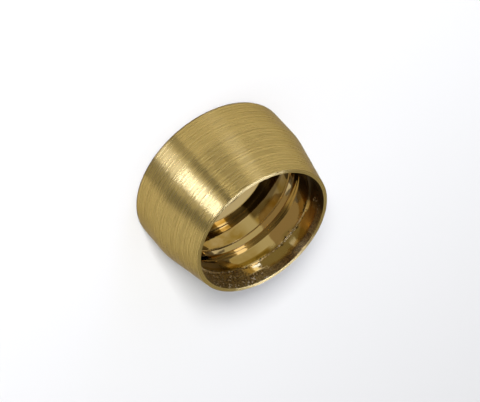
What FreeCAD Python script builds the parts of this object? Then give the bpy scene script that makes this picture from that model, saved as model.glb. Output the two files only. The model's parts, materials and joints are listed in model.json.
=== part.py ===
"""Compression olive: a turned brass ring that grips and seals the end of a tube.

The olive stands on its rear face at z = 0 with its axis on +Z and its mouth at the top. The tube enters
at the mouth, passes a lead-in, an entry bore and a grip bore with a ring groove, slides into the close
seat and butts against the stop at the rear. The outside is parallel at the rear and tapers to the mouth.
"""

import FreeCAD, Part
import os
import Sketcher

NODE = "olive"
FULL_TURN = 360
HEIGHT_MATCH = 1e-6

# Every driving size of the olive in millimetres, with what it measures.
SIZES = (
    ("tube_diameter", 10.0, "outside diameter of the tube"),
    ("tube_clearance", 0.1, "seat bore over tube, on the diameter"),
    ("grip_relief", 0.1, "grip bore over seat bore, on the radius"),
    ("entry_relief", 0.1, "entry bore over grip bore, on the radius"),
    ("lead_in_flare", 0.1, "mouth edge over entry bore, on the radius"),
    ("rim_width", 0.3, "flat rim at the mouth"),
    ("body_wall", 1.45, "wall of the parallel part outside the seat bore"),
    ("stop_width", 0.8, "ledge that the tube butts against, on the radius"),
    ("stop_thickness", 1.15, "rear flange that carries the stop"),
    ("seat_length", 1.85, "close bore above the stop"),
    ("land_length", 0.55, "grip bore below the ring groove"),
    ("ring_width", 0.65, "ring groove along the axis"),
    ("ring_depth", 0.45, "ring groove into the wall of the grip bore"),
    ("grip_length", 1.35, "grip bore above the ring groove"),
    ("entry_length", 1.15, "entry bore below the lead-in"),
    ("lead_in_length", 0.5, "lead-in along the axis"),
    ("parallel_length", 2.9, "parallel part of the outside"),
    ("taper_blend", 3.0, "round where the parallel part meets the taper"),
    ("rear_round", 0.2, "round on the outer rear edge"),
    ("rear_chamfer", 0.1, "chamfer on the rear edge of the through bore"),
    ("rim_break", 0.05, "broken outer edge of the rim"),
)

# Radii from the tube outwards, as expressions of the sizes.
SEAT_RADIUS = "(sizes.tube_diameter + sizes.tube_clearance) / 2"
THROUGH_RADIUS = SEAT_RADIUS + " - sizes.stop_width"
GRIP_RADIUS = SEAT_RADIUS + " + sizes.grip_relief"
RING_RADIUS = GRIP_RADIUS + " + sizes.ring_depth"
ENTRY_RADIUS = GRIP_RADIUS + " + sizes.entry_relief"
MOUTH_RADIUS = ENTRY_RADIUS + " + sizes.lead_in_flare"
RIM_RADIUS = MOUTH_RADIUS + " + sizes.rim_width"
BODY_RADIUS = SEAT_RADIUS + " + sizes.body_wall"

# Heights from the rear face up the bore, each on top of the last.
STOP_HEIGHT = "sizes.stop_thickness"
SEAT_HEIGHT = STOP_HEIGHT + " + sizes.seat_length"
RING_FOOT = SEAT_HEIGHT + " + sizes.land_length"
RING_HEAD = RING_FOOT + " + sizes.ring_width"
GRIP_HEIGHT = RING_HEAD + " + sizes.grip_length"
ENTRY_HEIGHT = GRIP_HEIGHT + " + sizes.entry_length"
MOUTH_HEIGHT = ENTRY_HEIGHT + " + sizes.lead_in_length"
PARALLEL_HEIGHT = "sizes.parallel_length"

# A corner on the turning axis or on the rear face has no size of its own.
AXIS = None
REAR = None


def add_sizes(doc):
    """Spreadsheet with a name, a value and a note on each row."""
    sheet = doc.addObject("Spreadsheet::Sheet", "sizes")
    for row, (name, value, note) in enumerate(SIZES, start=1):
        sheet.set(f"A{row}", name)
        sheet.set(f"B{row}", str(value))
        sheet.setAlias(f"B{row}", name)
        sheet.set(f"C{row}", note)
    doc.recompute()
    return sheet


def add_profile(body, name, corners):
    """Closed sketch on the XZ plane through corners given as (radius, height) expressions.

    A side between two corners of one radius is held vertical and one of one height is held horizontal,
    so each radius and each height is dimensioned once.
    """
    sketch = body.newObject("Sketcher::SketchObject", name)
    planes = {feature.Role: feature for feature in body.Origin.OriginFeatures}
    sketch.AttachmentSupport = [(planes["XZ_Plane"], "")]
    sketch.MapMode = "FlatFace"
    count = len(corners)
    places = [FreeCAD.Vector(i + 1, i + 1, 0) for i in range(count)]
    for i in range(count):
        sketch.addGeometry(Part.LineSegment(places[i], places[(i + 1) % count]), False)
    for i in range(count):
        sketch.addConstraint(Sketcher.Constraint("Coincident", i - 1 if i else count - 1, 2, i, 1))
    for i, (radius, height) in enumerate(corners):
        before = corners[i - 1] if i else (None, None)
        same_radius = i and radius == before[0]
        same_height = i and height == before[1]
        if same_radius:
            sketch.addConstraint(Sketcher.Constraint("Vertical", i - 1))
        else:
            hold_corner(sketch, i, "DistanceX", radius, f"radius_{i}")
        if same_height:
            sketch.addConstraint(Sketcher.Constraint("Horizontal", i - 1))
        else:
            hold_corner(sketch, i, "DistanceY", height, f"height_{i}")
    return sketch


def hold_corner(sketch, line, kind, expression, name):
    """Dimension the first point of a line from the origin, or hold it on the axis or the rear face."""
    origin, start = -1, 1
    if expression is None:
        sketch_axis = -2 if kind == "DistanceX" else -1
        sketch.addConstraint(Sketcher.Constraint("PointOnObject", line, start, sketch_axis))
        return
    placed = sketch.Geometry[line].StartPoint
    distance = placed.x if kind == "DistanceX" else placed.y
    index = sketch.addConstraint(Sketcher.Constraint(kind, origin, start, line, start, distance))
    sketch.renameConstraint(index, name)
    sketch.setExpression(f"Constraints.{name}", expression)


def turn(body, kind, name, corners):
    """Revolve a profile right round the axis, as added metal or as a cut."""
    sketch = add_profile(body, f"{name}_profile", corners)
    feature = body.newObject(f"PartDesign::{kind}", name)
    feature.Profile = sketch
    feature.ReferenceAxis = (sketch, ["V_Axis"])
    feature.Angle = FULL_TURN
    body.Document.recompute()
    return feature


def cut_by_turning(body, name, corners):
    """Turned cut that has to take metal away."""
    before = body.Tip.Shape.Volume
    feature = turn(body, "Groove", name, corners)
    if not feature.Shape.Volume < before:
        raise RuntimeError(f"{name} cuts nothing")
    return feature


def rings(shape, accept):
    """Names and radii of the circular edges whose height is accepted."""
    found = []
    for number, edge in enumerate(shape.Edges, start=1):
        if isinstance(edge.Curve, Part.Circle) and accept(edge.Curve.Center.z):
            found.append((edge.Curve.Radius, f"Edge{number}"))
    return found


def finish_edge(body, kind, name, edge, size_property, size):
    """Round or chamfer on one ring edge of the body as it stands."""
    base = body.Tip
    feature = body.newObject(f"PartDesign::{kind}", name)
    feature.Base = (base, [edge])
    feature.setExpression(size_property, f"sizes.{size}")
    body.Document.recompute()
    return feature


def break_edges(body):
    """Edges that the turner rounds or chamfers, each found by where it lies."""
    heights = [edge.Curve.Center.z for edge in body.Tip.Shape.Edges if isinstance(edge.Curve, Part.Circle)]
    foot = min(heights)
    head = max(heights)

    def at_foot(height):
        return abs(height - foot) < HEIGHT_MATCH

    def at_head(height):
        return abs(height - head) < HEIGHT_MATCH

    def above_foot(height):
        return not at_foot(height)

    widest_above = max(rings(body.Tip.Shape, above_foot))[1]
    finish_edge(body, "Fillet", "taper_round", widest_above, "Radius", "taper_blend")
    widest_at_head = max(rings(body.Tip.Shape, at_head))[1]
    finish_edge(body, "Fillet", "rim_edge", widest_at_head, "Radius", "rim_break")
    widest_at_foot = max(rings(body.Tip.Shape, at_foot))[1]
    finish_edge(body, "Fillet", "rear_edge", widest_at_foot, "Radius", "rear_round")
    narrowest_at_foot = min(rings(body.Tip.Shape, at_foot))[1]
    finish_edge(body, "Chamfer", "through_edge", narrowest_at_foot, "Size", "rear_chamfer")


def build_olive(doc):
    """The olive: outside turned first, then the stepped bore, then the ring groove and the edges."""
    body = doc.addObject("PartDesign::Body", NODE)
    body.Label = NODE
    turn(body, "Revolution", "outside", (
        (AXIS, REAR),
        (BODY_RADIUS, REAR),
        (BODY_RADIUS, PARALLEL_HEIGHT),
        (RIM_RADIUS, MOUTH_HEIGHT),
        (AXIS, MOUTH_HEIGHT),
    ))
    cut_by_turning(body, "stepped_bore", (
        (AXIS, REAR),
        (THROUGH_RADIUS, REAR),
        (THROUGH_RADIUS, STOP_HEIGHT),
        (SEAT_RADIUS, STOP_HEIGHT),
        (SEAT_RADIUS, SEAT_HEIGHT),
        (GRIP_RADIUS, SEAT_HEIGHT),
        (GRIP_RADIUS, GRIP_HEIGHT),
        (ENTRY_RADIUS, GRIP_HEIGHT),
        (ENTRY_RADIUS, ENTRY_HEIGHT),
        (MOUTH_RADIUS, MOUTH_HEIGHT),
        (AXIS, MOUTH_HEIGHT),
    ))
    cut_by_turning(body, "ring_groove", (
        (SEAT_RADIUS, RING_FOOT),
        (RING_RADIUS, RING_FOOT),
        (RING_RADIUS, RING_HEAD),
        (SEAT_RADIUS, RING_HEAD),
    ))
    break_edges(body)
    return body


def check(doc, body):
    """Stop before anything is written if an object failed or the olive isn't one sound solid."""
    for item in doc.Objects:
        failed = {"Invalid", "Error"} & set(item.State)
        if failed:
            raise RuntimeError(f"{item.Name} is {sorted(failed)}")
    shape = body.Shape
    if shape.isNull() or not shape.isValid():
        raise RuntimeError(f"{body.Label} has no valid shape")
    if len(shape.Solids) != 1:
        raise RuntimeError(f"{body.Label} is {len(shape.Solids)} solids")


def main():
    doc = FreeCAD.newDocument("compression_olive")
    add_sizes(doc)
    body = build_olive(doc)
    doc.recompute()
    check(doc, body)
    os.makedirs("parts", exist_ok=True)
    body.Shape.exportStep(f"parts/{body.Label}.step")
    box = body.Shape.optimalBoundingBox()
    print(f"{body.Label}: {box.XLength:.3f} x {box.YLength:.3f} x {box.ZLength:.3f} mm")
    print(f"volume {body.Shape.Volume:.2f} mm3 in {len(body.Shape.Faces)} faces")


main()
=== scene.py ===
"""Compression olive: a turned brass ring that grips and seals the end of a tube.

The olive stands on its rear face with its mouth up. Its mesh is spun from one half section, then carries
what turning and handling leave on brass: feed marks, a torn burr on the ledge of the bore, a knocked rim
and a small dent. The stage is a pale floor in a grey studio, lit by softboxes, with flags and cards that
only the metal shows.
"""

import json
import math
from collections import namedtuple

import bmesh
import bpy
from mathutils import Matrix, Vector, noise


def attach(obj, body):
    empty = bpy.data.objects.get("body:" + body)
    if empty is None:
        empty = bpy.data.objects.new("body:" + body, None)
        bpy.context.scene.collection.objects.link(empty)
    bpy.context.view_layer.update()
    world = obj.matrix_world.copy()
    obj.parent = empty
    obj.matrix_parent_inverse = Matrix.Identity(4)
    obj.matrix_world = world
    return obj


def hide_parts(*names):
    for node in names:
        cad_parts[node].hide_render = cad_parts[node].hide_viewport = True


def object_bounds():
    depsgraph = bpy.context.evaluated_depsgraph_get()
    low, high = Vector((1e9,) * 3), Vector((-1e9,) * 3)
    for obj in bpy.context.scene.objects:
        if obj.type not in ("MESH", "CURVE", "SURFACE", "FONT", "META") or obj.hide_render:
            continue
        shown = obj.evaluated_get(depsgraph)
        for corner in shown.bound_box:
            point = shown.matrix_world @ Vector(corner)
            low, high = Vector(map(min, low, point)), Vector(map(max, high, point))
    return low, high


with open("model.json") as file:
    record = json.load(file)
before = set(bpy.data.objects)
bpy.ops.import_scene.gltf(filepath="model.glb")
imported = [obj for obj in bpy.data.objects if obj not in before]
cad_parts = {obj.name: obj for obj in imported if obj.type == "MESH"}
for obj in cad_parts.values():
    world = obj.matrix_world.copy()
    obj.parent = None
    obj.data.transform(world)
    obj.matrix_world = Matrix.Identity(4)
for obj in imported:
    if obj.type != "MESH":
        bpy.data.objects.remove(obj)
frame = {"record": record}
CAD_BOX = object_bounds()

bl_info = {
    "name": "Compression olive",
    "version": (1, 0, 0),
    "blender": (4, 5, 0),
    "location": "3D View > Sidebar > Olive",
    "description": "Turns a brass compression olive on its packed frame and sets it on a pale stage",
    "category": "Object",
}

MM = 0.001
NODE = "olive"
BODY = "root"

# The finest spacing of rings on the mesh and the count of facets round it.
OUTSIDE_SPACING = 0.06 * MM
BORE_SPACING = 0.11 * MM
FACETS = 256
ROUND_SEGMENTS = 5
MERGE_DISTANCE = 1e-7

# Material numbers of the olive's mesh, and how faces are sorted between them.
OUTSIDE, BORE = 0, 1
OUTSIDE_FACING = 0.3
END_FACING = 0.7
END_DEPTH = 0.03 * MM

# Marks on the mesh: feed marks, the torn burr, knocks on the rim and one dent. Plain numbers say how fine the
# noise of a mark is round the olive, but TEAR_SHARE and KNOCK_LEAST are levels of it.
MARK_ARC = 1.5
MARK_PITCH = 0.16 * MM
BURR_REACH = 0.12 * MM
BURR_LENGTHS = 6.0
BURR_TEARS = 19.0
TEAR_SHARE = 0.5
KNOCKS = 7.0
KNOCK_LEAST = 0.15
KNOCK_REACH = 0.06 * MM
DENT_RADIUS = 0.28 * MM
DENT_HEIGHT = 1.3 * MM

# Size of the olive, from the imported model.
MOUNTS = {mount["name"]: mount for mount in frame["record"]["mounts"]}
SEAT_RADIUS = MOUNTS["tube_socket"]["dims"]["r_mm"] * MM
THROUGH_RADIUS = MOUNTS["through_bore"]["dims"]["r_mm"] * MM
BODY_RADIUS = max(CAD_BOX[1].x, CAD_BOX[1].y)
LENGTH = CAD_BOX[1].z

# Patterns of the brass. Lines have a pitch along the section, a count of changes round the olive and detail.
# Clouds have a size, the noise levels between which they fade in, and detail.
FINE_LINES = {"Pitch": 0.07 * MM, "Arc": 3.0, "Detail": 1.0}
BROAD_LINES = {"Pitch": 0.16 * MM, "Arc": 4.0, "Detail": 2.0}
BORE_LINES = {"Pitch": 0.05 * MM, "Arc": 4.0, "Detail": 2.0}
OUTSIDE_CLOUDS = {"Size": 3 * MM, "Start": 0.35, "End": 0.7}
FILM_CLOUDS = {"Size": 1.2 * MM, "Start": 0.35, "End": 0.65}
GRAINS = {"Size": 0.15 * MM, "Start": 0.38, "End": 0.62, "Detail": 3.0}
SPECKS = {"Size": 0.16 * MM, "Start": 0.67, "End": 0.72, "Detail": 0.0}
FLECKS = {"Size": 0.2 * MM, "Start": 0.6, "End": 0.65, "Detail": 1.0}
RIPPLES = {"Size": 0.6 * MM, "Start": 0.2, "End": 0.8, "Detail": 1.0}

# How lines come and go: the length of a patch in pitches, its fade, and the least and most strength.
PATCH_PITCHES = 3.0
PATCH_FADE = (0.35, 0.65)
LINE_STRENGTH = (0.3, 1.4)

# Colour of the outside: the shares of the two kinds of lines, the fade to a light line, the share of the
# clouds, and the painted shade on the rounded rear edge, which fades out up from the rear face.
FINE_SHARE = 0.45
BROAD_SHARE = 0.55
LIGHT_LINE = (0.4, 0.6)
CLOUD_SHARE = 0.25
REAR_SHADE_FADE = (0.28 * MM, 0.08 * MM)
REAR_SHADE_SHARE = 0.8

# Gloss of the outside: roughness of dark and of light lines, how far highlights stretch and which way, the
# depth of the broad lines, and the share of light that is kept at a glancing angle.
OUTSIDE_ROUGHNESS = (0.32, 0.25)
OUTSIDE_STRETCH = 1.0
QUARTER_TURN = 0.25
BROAD_DEPTH = 0.036 * MM
EDGE_TINT = (0.47, 0.44, 0.43)

# Zones of the bore, across it as X over the radius, and up it in millimetres. Two numbers are a fade from
# none to all, and three are a band whose ends fade over the third. Left and right are as the camera sees the
# far wall, so left is towards +X.
Zone = namedtuple("Zone", "across up")
ZONES = {
    "left": Zone((0.1, 0.35), None),
    "right": Zone((0.02, -0.06), None),
    "seat": Zone(None, (1.3, 3.02, 0.08)),
    "grip": Zone(None, (4.2, 5.5, 0.08)),
    "grip_top": Zone((0.03, 0.14), (4.95, 5.52, 0.15)),
    "mouth": Zone(None, (6.4, 6.75)),
    "left_lip": Zone((0.5, 0.72), (5.1, 5.6)),
    "low_lip": Zone((0.2, 0.42), (6.2, 6.45)),
    "right_lip": Zone((-0.9, -0.72, 0.06), (5.9, 6.9, 0.25)),
    # Painted shade in the corner above the stop, darker towards the right.
    "stop_corner": Zone((-0.45, 0.38, 0.1), (1.6, 1.25)),
    "corner_right": Zone((0.1, -0.2), None),
    # Painted shade on the foot and the right end of the seat.
    "seat_foot": Zone((0.02, -0.06), (2.6, 2.1)),
    "seat_end": Zone((-0.42, -0.55), (1.3, 3.02, 0.08)),
    "left_grip": Zone((0.66, 0.95), (4.2, 5.9, 0.35)),
    # Painted shade on the right end of the wall.
    "right_end": Zone((-0.72, -0.84), (3.5, 4.3)),
    "right_entry": Zone((-0.48, -0.6), (5.6, 5.8)),
    "flecked": Zone(None, (5.2, 5.8, 0.15)),
    "ledge": Zone((-0.8, 0.45, 0.2), (5.53, 5.62, 0.02)),
    "mouth_left": Zone((-0.05, 0.25), None),
    "mouth_right": Zone((-0.35, -0.55), (6.4, 6.75)),
}

# Share of film on the grip and the lip, and its least and most where it is cloudy.
GRIP_FILM = 0.6
LIP_FILM = 0.7
CLOUDY_FILM = (0.5, 1.0)

# Dirt and painted shade: the fade at the inner edge of the stop, the share in the zones where it is even, and
# the least and most in the others. Painted shade darkens the corner above the stop, the foot and the right
# end of the seat and the right end of the wall; under the ledge and on the left of the grip the wall is only
# darker, and the crust and the smear at the mouth are dirt.
STOP_EDGE_FADE = 0.06 * MM
SHADE_AND_DARK_PATCHES = {"seat_foot": 0.75, "seat_end": 0.5, "grip_top": 0.2, "left_grip": 0.2, "right_end": 0.85}
CORNER_SHADE = (0.45, 0.7)
CRUST_DIRT = (0.0, 0.7)
MOUTH_DIRT = (0.15, 0.6)

# Least and most bare brass on the ledge.
BARE_LEDGE = (0.2, 0.8)

# Roughness of the bore's lines, and what crust, bare brass and scuffs add to it.
BORE_ROUGHNESS = (0.03, 0.07)
CRUST_WEAR = 0.2
BARE_WEAR = 0.5
MOUTH_WEAR = (0.17, 0.4)
WEAR = {
    "left_lip": 0.45,
    "low_lip": 0.45,
    "left_grip": 0.45,
    "mouth_right": 0.32,
    "right_end": 0.2125,
    "right_entry": 0.16,
}

# Depth of what bends the bore's reflections.
RIPPLE_DEPTH = 0.0015 * MM
BORE_LINE_DEPTH = 0.001 * MM
BORE_LINE_STRENGTH = 0.5
CRUMB_DEPTH = 0.02 * MM

# The camera's sensor in millimetres, and the nearest that it sees in metres.
SENSOR_WIDTH = 36
NEAREST = 0.01

# The floor in metres: flat up to a radius, then rising to its edge.
FLOOR_RADIUS = 0.45
FLOOR_EDGE = 0.75
FLOOR_RISE = 0.14
FLOOR_GAP = 0.002 * MM
FLOOR_FACETS = 96

# Darker sides of the studio: azimuth and elevation, the angles from there between which each fades into the
# studio, and its level.
DarkSide = namedtuple("DarkSide", "azimuth elevation start end level")
DARK_SIDES = (
    DarkSide(13, 40, 27, 40, 0.2),
    DarkSide(35, -2, 30, 42, 0.03),
    DarkSide(-84, 40, 14, 24, 0.15),
)

# Flags on the floor, seen only in the metal: the azimuths of the strip of the outside that mirrors each, its
# start and end from there in millimetres, and its grey.
FLAG_GAP = 0.05 * MM
Flag = namedtuple("Flag", "name first last start end grey")
FLAGS = (
    Flag("left_near_flag", 24.5, 34.5, 0, 8, 0.42),
    Flag("left_far_flag", 24.5, 33.5, 8, 150, 0.2),
    Flag("right_near_flag", 0.8, 6.4, 0, 8, 0.54),
    Flag("right_far_flag", 0.8, 5.2, 8, 150, 0.2),
    Flag("streak_flag", 20.5, 24.5, 0, 6, 0.4),
    Flag("middle_far_flag", -16, -5, 8, 150, 0.47),
)

# Tints of the lamps and cards.
PLAIN = (1.0, 1.0, 1.0)
COOL = (0.84, 1.0, 1.9)
BRIGHT = (0.83, 0.99, 1.55)
FRESH = (0.89, 0.89, 0.84)
PALE = (0.99, 0.97, 0.94)
CREAM = (0.99, 0.935, 0.71)
WARM = (0.99, 0.77, 0.46)
OLIVE = (0.99, 0.83, 0.4)

# Softboxes: azimuth, elevation, angles of width and height, radiance and tint, and whether each shows in the
# metal and lights the floor.
LAMP_DISTANCE = 0.3
LAMP_FACTOR = 4.0
Softbox = namedtuple("Softbox", "name azimuth elevation angles radiance tint in_metal on_floor")
SOFTBOXES = (
    Softbox("strip_softbox", 26.5, 8, (18, 10), 17.4, COOL, True, False),
    Softbox("side_softbox", -46, 28.5, (15, 37), 1.17, COOL, True, True),
    Softbox("back_softbox", 197, 62, (24, 16), 7.5, COOL, True, False),
    Softbox("key_softbox", -6.5, 32.2, (12, 9), 116.0, PLAIN, False, True),
)

# Cards on the floor inside the bore, seen only in the metal: the middle and size of each in millimetres, its
# turn in degrees, its level and its tint. Each lies a little higher than the one before. The left and right
# ones are named for the side of the bore that mirrors them, which is across from where they lie.
CARD_STEP = 0.01 * MM
CARD_FACETS = 96
Card = namedtuple("Card", "name middle size turn level tint")
BORE_CARDS = (
    Card("left_card", (-2.1, 0), (4.46, 5.5), 0, 0.52, CREAM),
    Card("right_card", (2.2, 0), (4.14, 5.5), 0, 0.3, WARM),
    Card("far_card", (0, 3.3), (2.1, 1.1), 0, 0.62, PALE),
    Card("near_shade", (0, -3.35), (8.5, 1.9), 0, 0.22, OLIVE),
    Card("left_shade", (-2.82, -2.25), (4, 1.8), 144.4, 0.22, OLIVE),
    Card("right_shade", (2.82, -2.25), (4, 1.8), 35.6, 0.21, OLIVE),
    Card("left_glint", (-3.83, -0.93), (1.46, 0.62), 127.5, 1.95, BRIGHT),
    Card("right_glint", (2.69, -2.96), (1.3, 0.72), 32, 0.62, FRESH),
)


def length_property(name, description, millimetres):
    """Length that a user may change, given in millimetres and kept in metres."""
    return bpy.props.FloatProperty(
        name=name, description=description, default=millimetres * MM, min=0, precision=5, unit="LENGTH"
    )


def angle_property(name, description, degrees):
    """Angle that a user may change, given in degrees and kept in radians."""
    return bpy.props.FloatProperty(
        name=name, description=description, default=math.radians(degrees), subtype="ANGLE"
    )


def colour_property(name, description, colour):
    """Linear colour that a user may change."""
    return bpy.props.FloatVectorProperty(
        name=name, description=description, default=colour, size=3, min=0, max=1, subtype="COLOR"
    )


def level_property(name, description, value):
    """Plain number that a user may change."""
    return bpy.props.FloatProperty(name=name, description=description, default=value, min=0)


class OliveSizes(bpy.types.PropertyGroup):
    """Section of the olive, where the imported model's box and bores don't give it."""

    rim_width: length_property("Rim width", "Flat rim at the mouth", 0.3)
    lead_in_flare: length_property("Lead-in flare", "Mouth edge over the entry bore, on the radius", 0.1)
    lead_in_length: length_property("Lead-in length", "Lead-in along the axis", 0.5)
    entry_relief: length_property("Entry relief", "Entry bore over the grip bore, on the radius", 0.1)
    entry_length: length_property("Entry length", "Entry bore below the lead-in", 1.15)
    grip_relief: length_property("Grip relief", "Grip bore over the seat bore, on the radius", 0.1)
    grip_length: length_property("Grip length", "Grip bore above the ring groove", 1.35)
    ring_width: length_property("Ring width", "Ring groove along the axis", 0.65)
    ring_depth: length_property("Ring depth", "Ring groove into the wall of the grip bore", 0.45)
    land_length: length_property("Land length", "Grip bore below the ring groove", 0.55)
    seat_length: length_property("Seat length", "Close bore above the stop", 1.85)
    parallel_length: length_property("Parallel length", "Parallel part of the outside", 2.9)
    taper_blend: length_property("Taper blend", "Round from the parallel part to the taper", 3.0)
    rear_round: length_property("Rear round", "Round on the outer rear edge", 0.2)
    rear_chamfer: length_property("Rear chamfer", "Chamfer on the rear edge of the through bore", 0.1)
    rim_break: length_property("Rim break", "Broken outer edge of the rim", 0.05)
    edge_break: length_property("Edge break", "Round on the inner edges of the bore", 0.012)
    tool_nose: length_property("Tool nose", "Round that the tool leaves in the inner corners", 0.005)


class OliveFinish(bpy.types.PropertyGroup):
    """Colours and marks of the brass."""

    outside: colour_property("Outside", "Brass of the turned outside", (0.52, 0.375, 0.124))
    outside_dark: colour_property("Outside lines", "Brass in the feed marks outside", (0.475, 0.34, 0.109))
    # Painted shade: the rounded rear edge is darkened towards the rear face.
    rear_edge_shade: colour_property("Rear edge", "Tarnish on the rounded rear edge", (0.14, 0.11, 0.07))
    bore: colour_property("Bore", "Brass of the smooth bore", (0.73, 0.555, 0.255))
    bore_dark: colour_property("Bore film", "Tarnish film on the bore", (0.465, 0.275, 0.036))
    # Stain colours both dried oil and dirt near the mouth and the painted shade in the corner above the stop
    # and on the right of the wall.
    stain_and_shade: colour_property("Stain", "Dried cutting oil and dirt near the mouth", (0.05, 0.026, 0.008))
    speck: colour_property("Specks", "Bare brass that glints in the dirt", (0.9, 0.75, 0.45))
    feed_mark: length_property("Feed mark", "Depth of the feed marks on the outside", 0.0014)
    burr: length_property("Burr", "Height of the torn burr on the ledge of the bore", 0.12)
    knock: length_property("Knocks", "Depth of the knocks on the rim", 0.02)
    dent: length_property("Dent", "Depth of the dent on the parallel part", 0.08)


class OliveStage(bpy.types.PropertyGroup):
    """Camera, floor and light."""

    lens: level_property("Lens", "Focal length of the camera in millimetres", 184.9)
    elevation: angle_property("Elevation", "Camera above the rim", 35.44)
    roll: angle_property("Roll", "Camera turned about its own line of sight", 138.26)
    distance: length_property("Distance", "Camera to the middle of the mouth", 179.56)
    mouth_right: length_property("Mouth right", "Middle of the mouth right of the picture's middle", 1.678)
    mouth_below: length_property("Mouth below", "Middle of the mouth below the picture's middle", 2.221)
    floor: colour_property("Floor", "Colour of the pale floor", (0.74, 0.74, 0.74))
    floor_glow: level_property("Floor glow", "Share of the floor's white that needs no light", 0.08)
    studio: level_property("Studio", "Level of the grey studio around the olive", 0.52)


def section_corners(sizes):
    """Corners of the half section as (radius, height, round), up the outside and down the bore."""
    grip_radius = SEAT_RADIUS + sizes.grip_relief
    ring_radius = grip_radius + sizes.ring_depth
    entry_radius = grip_radius + sizes.entry_relief
    mouth_radius = entry_radius + sizes.lead_in_flare
    rim_radius = mouth_radius + sizes.rim_width
    entry_head = LENGTH - sizes.lead_in_length
    grip_head = entry_head - sizes.entry_length
    ring_head = grip_head - sizes.grip_length
    ring_foot = ring_head - sizes.ring_width
    seat_head = ring_foot - sizes.land_length
    stop = seat_head - sizes.seat_length
    edge = sizes.edge_break
    nose = sizes.tool_nose
    return (
        (BODY_RADIUS, 0, sizes.rear_round),
        (BODY_RADIUS, sizes.parallel_length, sizes.taper_blend),
        (rim_radius, LENGTH, sizes.rim_break),
        (mouth_radius, LENGTH, edge),
        (entry_radius, entry_head, nose),
        (entry_radius, grip_head, nose),
        (grip_radius, grip_head, edge),
        (grip_radius, ring_head, edge),
        (ring_radius, ring_head, nose),
        (ring_radius, ring_foot, nose),
        (grip_radius, ring_foot, edge),
        (grip_radius, seat_head, edge),
        (SEAT_RADIUS, seat_head, edge),
        (SEAT_RADIUS, stop, nose),
        (THROUGH_RADIUS, stop, edge),
        (THROUGH_RADIUS, sizes.rear_chamfer, edge),
        (THROUGH_RADIUS + sizes.rear_chamfer, 0, edge),
    )


def round_reach(before, corner, after, radius):
    """Distance from a corner, along its sides, at which a round of that radius starts."""
    turn = (corner - before).angle(after - corner)
    return radius * math.tan(turn / 2)


def draw_section(bm, corners):
    """Half section on the XZ plane as a closed loop of edges, with every corner rounded."""
    points = [Vector((radius, 0, height)) for radius, height, _ in corners]
    verts = [bm.verts.new(point) for point in points]
    bm.faces.new(verts)
    for i, (_, _, radius) in enumerate(corners):
        after = points[(i + 1) % len(points)]
        bmesh.ops.bevel(
            bm,
            geom=[verts[i]],
            offset=round_reach(points[i - 1], points[i], after, radius),
            offset_type="ABSOLUTE",
            affect="VERTICES",
            segments=ROUND_SEGMENTS,
            profile=0.5,
            material=-1,
        )
    bmesh.ops.delete(bm, geom=bm.faces[:], context="FACES_ONLY")


def divide_section(bm):
    """Even steps along the section, closer on the outside where the feed marks are."""
    middle = (BODY_RADIUS + SEAT_RADIUS) / 2
    for edge in bm.edges[:]:
        at = (edge.verts[0].co + edge.verts[1].co) / 2
        spacing = OUTSIDE_SPACING if at.x > middle else BORE_SPACING
        cuts = math.ceil(edge.calc_length() / spacing) - 1
        if cuts > 0:
            bmesh.ops.subdivide_edges(bm, edges=[edge], cuts=cuts)


def spin_round(bm, steps):
    """Round mesh from the section in bm, spun right round the axis and merged."""
    bmesh.ops.spin(
        bm,
        geom=bm.verts[:] + bm.edges[:],
        cent=(0, 0, 0),
        axis=(0, 0, 1),
        angle=2 * math.pi,
        steps=steps,
        use_merge=True,
    )
    bmesh.ops.remove_doubles(bm, verts=bm.verts[:], dist=MERGE_DISTANCE)
    bmesh.ops.recalc_face_normals(bm, faces=bm.faces[:])
    for face in bm.faces:
        face.smooth = True


def place_mesh(context, bm, name, *materials):
    """Object at the origin with the mesh in bm, which is freed, and its materials."""
    mesh = bpy.data.meshes.new(name)
    bm.to_mesh(mesh)
    bm.free()
    for material in materials:
        mesh.materials.append(material)
    made = bpy.data.objects.new(name, mesh)
    context.scene.collection.objects.link(made)
    return made


def outward(place):
    """Unit vector from the axis to a place on the ring."""
    return Vector((place.x, place.y, 0)).normalized()


def mark_outside(bm, finish):
    """Feed marks of the turning tool, cut into the outside and never proud of it."""
    for vert in bm.verts:
        out = outward(vert.co)
        if vert.normal.dot(out) < OUTSIDE_FACING:
            continue
        along = Vector((out.x * MARK_ARC, out.y * MARK_ARC, vert.co.z / MARK_PITCH))
        depth = finish.feed_mark * (0.5 + 0.5 * noise.noise(along))
        vert.co -= depth * out


def raise_burr(bm, sizes, finish):
    """Torn burr on the inner edge of the ledge, in short lengths that lean into the bore."""
    edge_radius = SEAT_RADIUS + sizes.grip_relief
    edge_height = LENGTH - sizes.lead_in_length - sizes.entry_length
    for vert in bm.verts:
        out = outward(vert.co)
        across = math.hypot(vert.co.to_2d().length - edge_radius, vert.co.z - edge_height)
        reach = 1 - across / BURR_REACH
        if reach <= 0:
            continue
        torn = max(0, noise.noise(out * BURR_LENGTHS) + TEAR_SHARE * noise.noise(out * BURR_TEARS))
        vert.co -= finish.burr * reach * torn * out
        vert.co.z += finish.burr * reach * torn


def knock_rim(bm, finish):
    """Shallow knocks along the rim."""
    for vert in bm.verts:
        below = LENGTH - vert.co.z
        if below > KNOCK_REACH:
            continue
        hit = max(0, noise.noise(outward(vert.co) * KNOCKS) - KNOCK_LEAST)
        vert.co.z -= finish.knock * hit * (1 - below / KNOCK_REACH)


def dent_side(bm, finish):
    """One small dent on the parallel part."""
    middle = Vector((-BODY_RADIUS, 0, DENT_HEIGHT))
    for vert in bm.verts:
        near = (vert.co - middle).length / DENT_RADIUS
        if near < 1 and vert.normal.x < 0:
            vert.co -= finish.dent * (1 - near * near) ** 2 * outward(vert.co)


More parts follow.
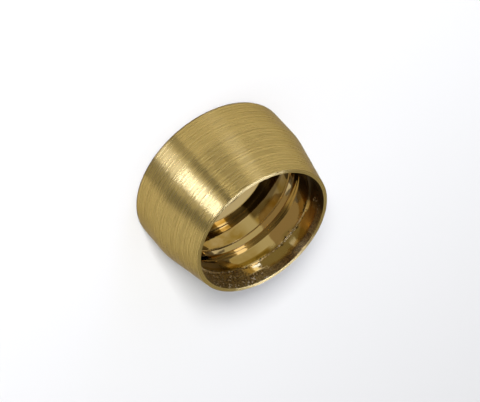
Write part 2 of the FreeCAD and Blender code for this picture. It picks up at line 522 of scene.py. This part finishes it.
def assign_zones(bm):
    """Material number of every face: the outside with its rim and rear face, or the bore."""
    for face in bm.faces:
        place = face.calc_center_median()
        faces_out = face.normal.dot(outward(place)) > OUTSIDE_FACING
        at_end = min(place.z, LENGTH - place.z) < END_DEPTH and abs(face.normal.z) > END_FACING
        face.material_index = OUTSIDE if faces_out or at_end else BORE


def make_olive(context):
    """The olive's object, which stands for the CAD node."""
    sizes = context.scene.olive_sizes
    finish = context.scene.olive_finish
    bm = bmesh.new()
    draw_section(bm, section_corners(sizes))
    divide_section(bm)
    spin_round(bm, FACETS)
    bm.normal_update()
    assign_zones(bm)
    dent_side(bm, finish)
    mark_outside(bm, finish)
    raise_burr(bm, sizes, finish)
    knock_rim(bm, finish)
    bm.normal_update()
    return place_mesh(context, bm, "turned_olive", outside_brass(finish), bore_brass(finish))


def add_node(tree, kind, inputs=None, **settings):
    """Shader node with its settings, whose inputs are values or sockets to link."""
    made = tree.nodes.new(f"ShaderNode{kind}")
    for name, value in settings.items():
        setattr(made, name, value)
    for key, value in (inputs or {}).items():
        if isinstance(value, bpy.types.NodeSocket):
            tree.links.new(value, made.inputs[key])
        else:
            made.inputs[key].default_value = value
    return made


def work_out(tree, operation, first, second=0.0):
    """Result of a Math node."""
    return add_node(tree, "Math", {0: first, 1: second}, operation=operation).outputs[0]


def times(tree, first, *others):
    """Product of masks and numbers."""
    for other in others:
        first = work_out(tree, "MULTIPLY", first, other)
    return first


def strongest(tree, first, *others):
    """Highest of several masks at each place."""
    for other in others:
        first = work_out(tree, "MAXIMUM", first, other)
    return first


def fade(tree, value, start, end):
    """Smooth step from 0 at start to 1 at end."""
    inputs = {"Value": value, "From Min": start, "From Max": end}
    return add_node(tree, "MapRange", inputs, interpolation_type="SMOOTHSTEP").outputs["Result"]


def spread(tree, value, low, high):
    """Value from 0 to 1 spread over a range."""
    return add_node(tree, "MapRange", {"Value": value, "To Min": low, "To Max": high}).outputs["Result"]


def blend(tree, share, first, second):
    """Colour mixed from two, each given as three numbers or as a socket."""
    made = add_node(tree, "Mix", {0: share}, data_type="RGBA")
    for index, colour in ((6, first), (7, second)):
        if isinstance(colour, bpy.types.NodeSocket):
            tree.links.new(colour, made.inputs[index])
        else:
            made.inputs[index].default_value = (*colour, 1)
    return made.outputs[2]


def bumped(tree, height, depth, strength=1.0, normal=None):
    """Normal bent by a pattern of that depth, on top of another normal where one is given."""
    inputs = {"Height": height, "Distance": depth, "Strength": strength}
    if normal is not None:
        inputs["Normal"] = normal
    return add_node(tree, "Bump", inputs).outputs["Normal"]


def new_group(name, inputs, outputs):
    """Empty shader node group with number inputs and outputs, and its two ends."""
    group = bpy.data.node_groups.new(name, "ShaderNodeTree")
    for label, value in inputs.items():
        socket = group.interface.new_socket(label, in_out="INPUT", socket_type="NodeSocketFloat")
        socket.default_value = value
    for label in outputs:
        group.interface.new_socket(label, in_out="OUTPUT", socket_type="NodeSocketFloat")
    start = group.nodes.new("NodeGroupInput")
    end = group.nodes.new("NodeGroupOutput")
    return group, start, end


def split_place(group):
    """Coordinates of a place on the olive, its flat vector from the axis and its radius."""
    place = add_node(group, "TexCoord").outputs["Object"]
    parts = add_node(group, "SeparateXYZ", {0: place}).outputs
    flat = add_node(group, "CombineXYZ", {0: parts[0], 1: parts[1]}).outputs[0]
    radius = add_node(group, "VectorMath", {0: flat}, operation="LENGTH").outputs["Value"]
    return parts, flat, radius


def place_group():
    """Radius, height and side of a place on the olive, from its own coordinates."""
    name = "place_on_olive"
    if name in bpy.data.node_groups:
        return bpy.data.node_groups[name]
    group, _, end = new_group(name, {}, ("Radius", "Height", "Side"))
    parts, _, radius = split_place(group)
    group.links.new(radius, end.inputs["Radius"])
    group.links.new(parts[2], end.inputs["Height"])
    group.links.new(work_out(group, "DIVIDE", parts[0], radius), end.inputs["Side"])
    return group


def marks_group():
    """Marks that run straight round the olive and come and go along their way."""
    name = "turning_marks"
    if name in bpy.data.node_groups:
        return bpy.data.node_groups[name]
    group, start, end = new_group(name, {"Pitch": 0.1 * MM, "Arc": 3.0, "Detail": 2.0}, ("Marks",))
    parts, flat, radius = split_place(group)
    unit = add_node(group, "VectorMath", {0: flat}, operation="NORMALIZE").outputs["Vector"]
    around = add_node(group, "VectorMath", {0: unit, "Scale": start.outputs["Arc"]}, operation="SCALE")
    run = work_out(group, "DIVIDE", work_out(group, "ADD", parts[2], radius), start.outputs["Pitch"])
    inputs = {"W": run, "Scale": 1.0, "Detail": start.outputs["Detail"]}
    straight = add_node(group, "TexNoise", inputs, noise_dimensions="1D").outputs[0]
    lift = add_node(group, "CombineXYZ", {2: work_out(group, "DIVIDE", run, PATCH_PITCHES)}).outputs[0]
    where = add_node(group, "VectorMath", {0: around.outputs["Vector"], 1: lift}, operation="ADD")
    inputs = {"Vector": where.outputs["Vector"], "Scale": 1.0, "Detail": 1.0}
    patches = add_node(group, "TexNoise", inputs, noise_dimensions="3D").outputs[0]
    strength = spread(group, fade(group, patches, *PATCH_FADE), *LINE_STRENGTH)
    swing = work_out(group, "MULTIPLY", work_out(group, "SUBTRACT", straight, 0.5), strength)
    group.links.new(work_out(group, "ADD", swing, 0.5), end.inputs["Marks"])
    return group


def film_group():
    """Cloudy patches of tarnish or dirt."""
    name = "cloudy_film"
    if name in bpy.data.node_groups:
        return bpy.data.node_groups[name]
    inputs = {"Size": 1 * MM, "Start": 0.4, "End": 0.7, "Detail": 3.0}
    group, start, end = new_group(name, inputs, ("Film",))
    place = add_node(group, "TexCoord").outputs["Object"]
    scale = work_out(group, "DIVIDE", 1.0, start.outputs["Size"])
    inputs = {"Vector": place, "Scale": scale, "Detail": start.outputs["Detail"]}
    clouds = add_node(group, "TexNoise", inputs, noise_dimensions="3D").outputs[0]
    film = fade(group, clouds, start.outputs["Start"], start.outputs["End"])
    group.links.new(film, end.inputs["Film"])
    return group


def use_group(tree, group, inputs=None):
    """Group placed in a material with its own values."""
    made = add_node(tree, "Group", node_tree=group)
    for key, value in (inputs or {}).items():
        made.inputs[key].default_value = value
    return made.outputs


def new_material(name):
    """Empty material, its nodes and its shader."""
    material = bpy.data.materials.new(name)
    material.use_nodes = True
    tree = material.node_tree
    return material, tree, tree.nodes["Principled BSDF"]


def new_brass(name):
    """Empty material, its nodes and its shader, set to metal."""
    material, tree, shader = new_material(name)
    shader.inputs["Metallic"].default_value = 1.0
    return material, tree, shader


def outside_brass(finish):
    """Turned outside: fine marks run round it, so highlights draw out along the axis."""
    material, tree, shader = new_brass("turned_outside")
    fine = use_group(tree, marks_group(), FINE_LINES)["Marks"]
    broad = use_group(tree, marks_group(), BROAD_LINES)["Marks"]
    clouds = use_group(tree, film_group(), OUTSIDE_CLOUDS)["Film"]
    marks = work_out(tree, "ADD", times(tree, fine, FINE_SHARE), times(tree, broad, BROAD_SHARE))
    light = fade(tree, marks, *LIGHT_LINE)
    metal = blend(tree, light, finish.outside_dark, finish.outside)
    cloudy = blend(tree, times(tree, clouds, CLOUD_SHARE), metal, finish.outside_dark)
    height = use_group(tree, place_group())["Height"]
    # Painted shade on the rounded rear edge, fading out up from the rear face.
    tarnish = times(tree, fade(tree, height, *REAR_SHADE_FADE), REAR_SHADE_SHARE)
    tree.links.new(blend(tree, tarnish, cloudy, finish.rear_edge_shade), shader.inputs["Base Color"])
    tree.links.new(spread(tree, light, *OUTSIDE_ROUGHNESS), shader.inputs["Roughness"])
    shader.inputs["Specular Tint"].default_value = (*EDGE_TINT, 1)
    shader.inputs["Anisotropic"].default_value = OUTSIDE_STRETCH
    shader.inputs["Anisotropic Rotation"].default_value = QUARTER_TURN
    around = add_node(tree, "Tangent", direction_type="RADIAL", axis="Z").outputs["Tangent"]
    tree.links.new(around, shader.inputs["Tangent"])
    tree.links.new(bumped(tree, broad, BROAD_DEPTH), shader.inputs["Normal"])
    return material


def between(tree, value, low, high, soft):
    """Mask that is 1 from low to high and fades out over a short way at each end."""
    return times(tree, fade(tree, value, low, low + soft), fade(tree, value, high, high - soft))


def zone_part(tree, value, numbers, unit):
    """Fade or band of a zone in one direction."""
    numbers = [number * unit for number in numbers]
    if len(numbers) == 3:
        return between(tree, value, *numbers)
    return fade(tree, value, *numbers)


def zone_mask(tree, place, zone):
    """Mask of a zone of the bore."""
    parts = []
    if zone.across:
        parts.append(zone_part(tree, place["Side"], zone.across, 1))
    if zone.up:
        parts.append(zone_part(tree, place["Height"], zone.up, MM))
    return times(tree, *parts)


def bore_film(tree, zones):
    """Mask of the tarnish film: cloudy on the seat and the grip, even below the ledge and at the lip."""
    clouds = use_group(tree, film_group(), FILM_CLOUDS)["Film"]
    left = times(tree, zones["left"], strongest(tree, zones["seat"], times(tree, zones["grip"], GRIP_FILM)))
    right = times(tree, zones["right"], zones["seat"])
    cloudy = times(tree, strongest(tree, left, right), spread(tree, clouds, *CLOUDY_FILM))
    lip = strongest(tree, zones["mouth"], zones["left_lip"], zones["low_lip"])
    return strongest(tree, cloudy, zones["grip_top"], times(tree, lip, LIP_FILM))


def bore_dirt_and_shade(tree, zones, radius, grain, crust):
    """Mask of dirt and painted shade: painted shade in the corner above the stop and on the right of the
    wall, darker patches under the ledge and on the left of the grip, and dried oil and dirt at the mouth.
    """
    past_edge = fade(tree, radius, THROUGH_RADIUS, THROUGH_RADIUS + STOP_EDGE_FADE)
    # Painted shade in the corner above the stop, darker towards the right.
    corner = times(tree, zones["stop_corner"], spread(tree, zones["corner_right"], *CORNER_SHADE))
    patches = [times(tree, zones[name], share) for name, share in SHADE_AND_DARK_PATCHES.items()]
    inside = times(tree, strongest(tree, corner, *patches), past_edge)
    smear = times(tree, zones["mouth"], spread(tree, grain, *MOUTH_DIRT))
    flecks = times(tree, zones["flecked"], use_group(tree, film_group(), FLECKS)["Film"])
    return strongest(tree, inside, crust, smear, flecks)


def bore_wear(tree, zones, crust, bare):
    """Roughness that crust, bare brass and scuffs add to the smooth bore."""
    mouth = times(tree, zones["mouth"], spread(tree, zones["mouth_left"], *MOUTH_WEAR))
    scuffs = [times(tree, zones[name], rough) for name, rough in WEAR.items()]
    return strongest(tree, times(tree, crust, CRUST_WEAR), times(tree, bare, BARE_WEAR), mouth, *scuffs)


def bore_normal(tree, lines, crust):
    """Normal of the bore, with slow ripples, fine lines and crumbs."""
    ripples = use_group(tree, film_group(), RIPPLES)["Film"]
    normal = bumped(tree, ripples, RIPPLE_DEPTH)
    normal = bumped(tree, lines, BORE_LINE_DEPTH, BORE_LINE_STRENGTH, normal)
    return bumped(tree, crust, CRUMB_DEPTH, normal=normal)


def bore_brass(finish):
    """Smooth bore under a thin film, with dried oil and bright specks towards the mouth, and painted shade in
    the corner above the stop and on the right of the wall.
    """
    material, tree, shader = new_brass("smooth_bore")
    place = use_group(tree, place_group())
    zones = {name: zone_mask(tree, place, zone) for name, zone in ZONES.items()}
    lines = use_group(tree, marks_group(), BORE_LINES)["Marks"]
    grain = use_group(tree, film_group(), GRAINS)["Film"]
    speck = use_group(tree, film_group(), SPECKS)["Film"]
    lip = strongest(tree, zones["left_lip"], zones["low_lip"], zones["right_lip"])
    crust = times(tree, lip, spread(tree, grain, *CRUST_DIRT))
    ledge = times(tree, zones["ledge"], spread(tree, grain, *BARE_LEDGE))
    bare = strongest(tree, times(tree, speck, lip), ledge)
    filmed = blend(tree, bore_film(tree, zones), finish.bore, finish.bore_dark)
    # Dirt at the mouth, and painted shade in the corner and on the right of the wall.
    dirt = bore_dirt_and_shade(tree, zones, place["Radius"], grain, crust)
    # The stain colour lays on dirt and painted shade alike.
    stained_and_shaded = blend(tree, dirt, filmed, finish.stain_and_shade)
    tree.links.new(blend(tree, bare, stained_and_shaded, finish.speck), shader.inputs["Base Color"])
    rough = work_out(tree, "ADD", spread(tree, lines, *BORE_ROUGHNESS), bore_wear(tree, zones, crust, bare))
    tree.links.new(rough, shader.inputs["Roughness"])
    tree.links.new(bore_normal(tree, lines, crust), shader.inputs["Normal"])
    return material


class OLIVE_OT_turn(bpy.types.Operator):
    """Turn the olive and give it its brass"""

    bl_idname = "olive.turn"
    bl_label = "Turn the olive"

    def execute(self, context):
        olive = make_olive(context)
        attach(olive, BODY)
        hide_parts(NODE)
        return {"FINISHED"}


def add_camera(context):
    """Camera at the photograph's angle, rolled so that the olive lies as it does there."""
    stage = context.scene.olive_stage
    mouth = Vector((0, 0, LENGTH))
    towards = Vector((0, -math.cos(stage.elevation), math.sin(stage.elevation)))
    level_right = Vector((1, 0, 0))
    level_up = towards.cross(level_right)
    right = math.cos(stage.roll) * level_right + math.sin(stage.roll) * level_up
    up = math.cos(stage.roll) * level_up - math.sin(stage.roll) * level_right
    place = mouth + stage.distance * towards - stage.mouth_right * right + stage.mouth_below * up
    data = bpy.data.cameras.new("camera")
    data.lens = stage.lens
    data.sensor_width = SENSOR_WIDTH
    data.sensor_fit = "HORIZONTAL"
    data.clip_start = NEAREST
    camera = bpy.data.objects.new("camera", data)
    camera.matrix_world = Matrix.Translation(place) @ Matrix((right, up, towards)).transposed().to_4x4()
    context.scene.collection.objects.link(camera)
    context.scene.camera = camera


def direction(azimuth, elevation):
    """Unit vector towards an azimuth, counted from the camera's side towards +X, and an elevation."""
    flat = math.cos(math.radians(elevation))
    side = math.radians(azimuth)
    return Vector((flat * math.sin(side), -flat * math.cos(side), math.sin(math.radians(elevation))))


def add_floor(context):
    """Pale floor that rises at its edge, so that low views see it behind the olive too."""
    bm = bmesh.new()
    points = ((0, 0), (FLOOR_RADIUS, 0), (FLOOR_EDGE, FLOOR_RISE))
    verts = [bm.verts.new((radius, 0, height - FLOOR_GAP)) for radius, height in points]
    for pair in zip(verts, verts[1:]):
        bm.edges.new(pair)
    spin_round(bm, FLOOR_FACETS)
    floor = place_mesh(context, bm, "pale_floor", floor_paint(context.scene.olive_stage))


def floor_paint(stage):
    """Pale paint that keeps shadows, with part of its white shown to the camera and to the metal unlit."""
    material, tree, shader = new_material("pale_floor")
    tree.nodes.remove(shader)
    paint = add_node(tree, "BsdfDiffuse", {"Color": (*stage.floor, 1)}).outputs[0]
    path = add_node(tree, "LightPath").outputs
    seen = strongest(tree, path["Is Camera Ray"], path["Is Glossy Ray"], path["Is Transmission Ray"])
    place = add_node(tree, "TexCoord").outputs["Object"]
    away = add_node(tree, "VectorMath", {0: place}, operation="LENGTH").outputs["Value"]
    clear = fade(tree, away, SEAT_RADIUS, BODY_RADIUS)
    glow = add_node(tree, "Emission", {"Strength": times(tree, seen, clear, stage.floor_glow)})
    total = add_node(tree, "AddShader", {0: paint, 1: glow.outputs[0]}).outputs[0]
    tree.links.new(total, tree.nodes["Material Output"].inputs["Surface"])
    return material


def show_in_metal_only(sheet):
    """Leave a sheet of the stage to be seen in reflections alone."""
    sheet.visible_camera = False
    sheet.visible_diffuse = False
    sheet.visible_shadow = False


def add_flag(context, flag):
    """Grey sheet on the floor, out of the camera's sight, that one strip of the outside mirrors."""
    corners = []
    for side in (flag.first, flag.last):
        foot = BODY_RADIUS * direction(side, 0)
        corners.append([foot + reach * MM * direction(2 * side, 0) for reach in (flag.start, flag.end)])
    (near, far), (last_near, last_far) = corners
    bm = bmesh.new()
    face = bm.faces.new([bm.verts.new(corner) for corner in (near, last_near, last_far, far)])
    bmesh.ops.translate(bm, verts=face.verts[:], vec=(0, 0, FLAG_GAP))
    material, _, shader = new_material(flag.name)
    shader.inputs["Base Color"].default_value = (flag.grey, flag.grey, flag.grey, 1)
    shader.inputs["Roughness"].default_value = 1.0
    sheet = place_mesh(context, bm, flag.name, material)
    show_in_metal_only(sheet)


def light_studio(context):
    """Grey studio with its darker sides."""
    stage = context.scene.olive_stage
    world = bpy.data.worlds.new("studio")
    world.use_nodes = True
    tree = world.node_tree
    ray = add_node(tree, "TexCoord").outputs["Generated"]
    level = (stage.studio,) * 3
    for side in DARK_SIDES:
        middle = direction(side.azimuth, side.elevation)
        towards = add_node(tree, "VectorMath", {0: ray, 1: middle}, operation="DOT_PRODUCT").outputs["Value"]
        wide = math.cos(math.radians(side.end))
        narrow = math.cos(math.radians(side.start))
        level = blend(tree, fade(tree, towards, wide, narrow), level, (side.level,) * 3)
    tree.links.new(level, tree.nodes["Background"].inputs["Color"])
    context.scene.world = world


def facing(towards):
    """Turn of a lamp that stands in that direction and shines back along it."""
    right = Vector((0, 0, 1)).cross(towards).normalized()
    return Matrix((right, towards.cross(right), towards)).transposed().to_4x4()


def add_softbox(context, softbox):
    """Rectangular lamp that faces the olive, with its size as angles seen from there."""
    data = bpy.data.lights.new(softbox.name, "AREA")
    data.shape = "RECTANGLE"
    wide, high = (math.radians(angle) for angle in softbox.angles)
    data.size = 2 * LAMP_DISTANCE * math.tan(wide / 2)
    data.size_y = 2 * LAMP_DISTANCE * math.tan(high / 2)
    data.energy = LAMP_FACTOR * softbox.radiance * data.size * data.size_y
    data.color = softbox.tint
    lamp = bpy.data.objects.new(softbox.name, data)
    towards = direction(softbox.azimuth, softbox.elevation)
    lamp.matrix_world = Matrix.Translation(LAMP_DISTANCE * towards) @ facing(towards)
    lamp.visible_camera = False
    lamp.visible_glossy = softbox.in_metal
    lamp.visible_diffuse = softbox.on_floor
    context.scene.collection.objects.link(lamp)


def add_card(context, card, rise):
    """Glowing card on the floor under the through bore, cut to the bore's circle."""
    bm = bmesh.new()
    bmesh.ops.create_circle(bm, cap_ends=True, segments=CARD_FACETS, radius=THROUGH_RADIUS - CARD_STEP)
    middle = Vector((*card.middle, 0)) * MM
    turn = Matrix.Rotation(math.radians(card.turn), 3, "Z")
    for axis, length in zip((turn.col[0], turn.col[1]), card.size):
        for way in (axis, -axis):
            bmesh.ops.bisect_plane(
                bm,
                geom=bm.verts[:] + bm.edges[:] + bm.faces[:],
                plane_co=middle + way * length * MM / 2,
                plane_no=way,
                clear_outer=True,
            )
    bmesh.ops.translate(bm, verts=bm.verts[:], vec=(0, 0, rise))
    material, _, shader = new_material(card.name)
    shader.inputs["Base Color"].default_value = (0, 0, 0, 1)
    shader.inputs["Specular IOR Level"].default_value = 0.0
    shader.inputs["Emission Color"].default_value = (*card.tint, 1)
    shader.inputs["Emission Strength"].default_value = card.level
    sheet = place_mesh(context, bm, card.name, material)
    show_in_metal_only(sheet)


class OLIVE_OT_set_stage(bpy.types.Operator):
    """Set the floor, the light and the camera"""

    bl_idname = "olive.set_stage"
    bl_label = "Set the stage"

    def execute(self, context):
        context.scene.view_settings.view_transform = "Standard"
        add_floor(context)
        light_studio(context)
        for flag in FLAGS:
            add_flag(context, flag)
        for softbox in SOFTBOXES:
            add_softbox(context, softbox)
        chamfer = context.scene.olive_sizes.rear_chamfer
        for number, card in enumerate(BORE_CARDS, start=1):
            add_card(context, card, chamfer + number * CARD_STEP)
        add_camera(context)
        return {"FINISHED"}


class OLIVE_PT_sidebar(bpy.types.Panel):
    """Sizes, finish and stage of the olive"""

    bl_idname = "OLIVE_PT_sidebar"
    bl_label = "Compression olive"
    bl_space_type = "VIEW_3D"
    bl_region_type = "UI"
    bl_category = "Olive"

    def draw(self, context):
        for name in ("olive_sizes", "olive_finish", "olive_stage"):
            group = getattr(context.scene, name)
            column = self.layout.column(align=True)
            for key in type(group).__annotations__:
                column.prop(group, key)
        self.layout.operator(OLIVE_OT_turn.bl_idname)
        self.layout.operator(OLIVE_OT_set_stage.bl_idname)


CLASSES = (OliveSizes, OliveFinish, OliveStage, OLIVE_OT_turn, OLIVE_OT_set_stage, OLIVE_PT_sidebar)


def register():
    for cls in CLASSES:
        bpy.utils.register_class(cls)
    bpy.types.Scene.olive_sizes = bpy.props.PointerProperty(type=OliveSizes)
    bpy.types.Scene.olive_finish = bpy.props.PointerProperty(type=OliveFinish)
    bpy.types.Scene.olive_stage = bpy.props.PointerProperty(type=OliveStage)


def unregister():
    del bpy.types.Scene.olive_stage
    del bpy.types.Scene.olive_finish
    del bpy.types.Scene.olive_sizes
    for cls in reversed(CLASSES):
        bpy.utils.unregister_class(cls)


def main():
    register()
    bpy.ops.olive.turn()
    bpy.ops.olive.set_stage()


if __name__ == "__main__":
    main()
